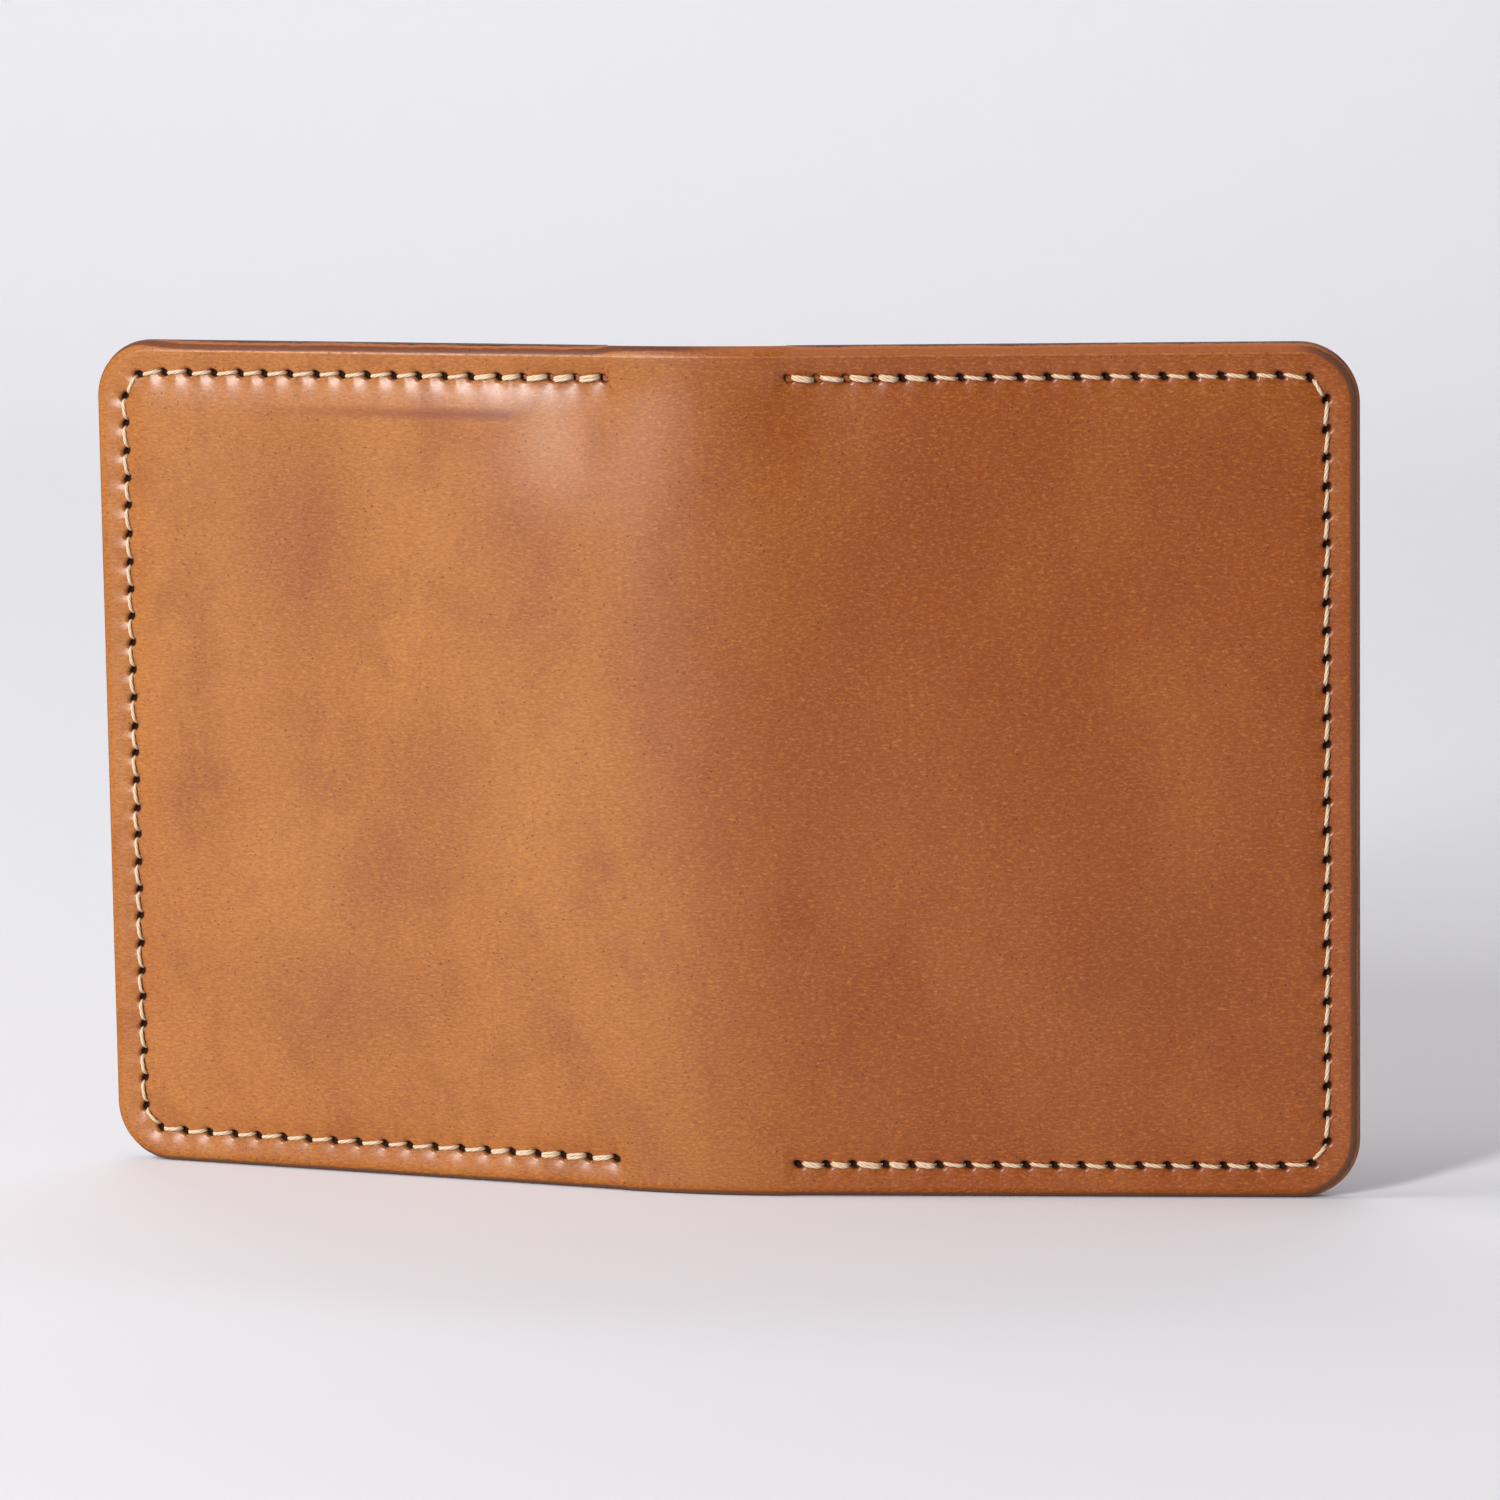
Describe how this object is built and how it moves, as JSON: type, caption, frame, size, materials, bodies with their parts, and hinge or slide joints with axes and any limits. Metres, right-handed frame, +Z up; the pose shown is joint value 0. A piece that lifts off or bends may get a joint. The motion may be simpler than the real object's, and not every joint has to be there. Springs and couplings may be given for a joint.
{
  "type": "bifold card holder",
  "caption": "Upright bifold leather card holder with stitched edges and card slots inside, standing open on its lower edge.",
  "frame": {"origin": "middle of the box that holds the holder at rest, on the surface that it stands on", "axes": "+Z up along the fold, +X from the fold to the right half as seen from outside, -Y out of the cover's outer face at the fold"},
  "size_m": [0.1552, 0.015, 0.102],
  "materials": {
    "cover_leather": "glazed amber-brown vegetable-tanned leather, semi-gloss, burnished dark edge",
    "inner_leather": "smooth tan vegetable-tanned leather, satin",
    "seam_thread": "waxed cream twisted thread, matte"
  },
  "bodies": {
    "spine": {"spine_strip": "cover_leather"},
    "left_half": {"left_cover_panel": "cover_leather", "left_inner_panel": "inner_leather", "left_rear_slot": "inner_leather", "left_slot_near_tab": "inner_leather", "left_slot_far_tab": "inner_leather", "left_front_pocket": "inner_leather", "left_edge_needle_thread": "seam_thread", "left_edge_bobbin_thread": "seam_thread", "left_pocket_needle_thread": "seam_thread", "left_pocket_bobbin_thread": "seam_thread", "left_slot_needle_thread": "seam_thread", "left_slot_bobbin_thread": "seam_thread"},
    "right_half": {"right_cover_panel": "cover_leather", "right_inner_panel": "inner_leather", "right_rear_slot": "inner_leather", "right_slot_near_tab": "inner_leather", "right_slot_far_tab": "inner_leather", "right_front_pocket": "inner_leather", "right_edge_needle_thread": "seam_thread", "right_edge_bobbin_thread": "seam_thread", "right_pocket_needle_thread": "seam_thread", "right_pocket_bobbin_thread": "seam_thread", "right_slot_needle_thread": "seam_thread", "right_slot_bobbin_thread": "seam_thread"}
  },
  "joints": [
    {"name": "right_fold", "type": "hinge", "parent": "spine", "child": "right_half", "pos_m": [0.00515, -0.00606, 0], "axis": [0, 0, 1], "range_deg": [-8, 82]},
    {"name": "left_fold", "type": "hinge", "parent": "spine", "child": "left_half", "pos_m": [-0.00515, -0.00606, 0], "axis": [0, 0, -1], "range_deg": [-8, 82]}
  ],
  "couplings": [
    {"joint": "left_fold", "follows": "right_fold", "ratio": 1}
  ]
}
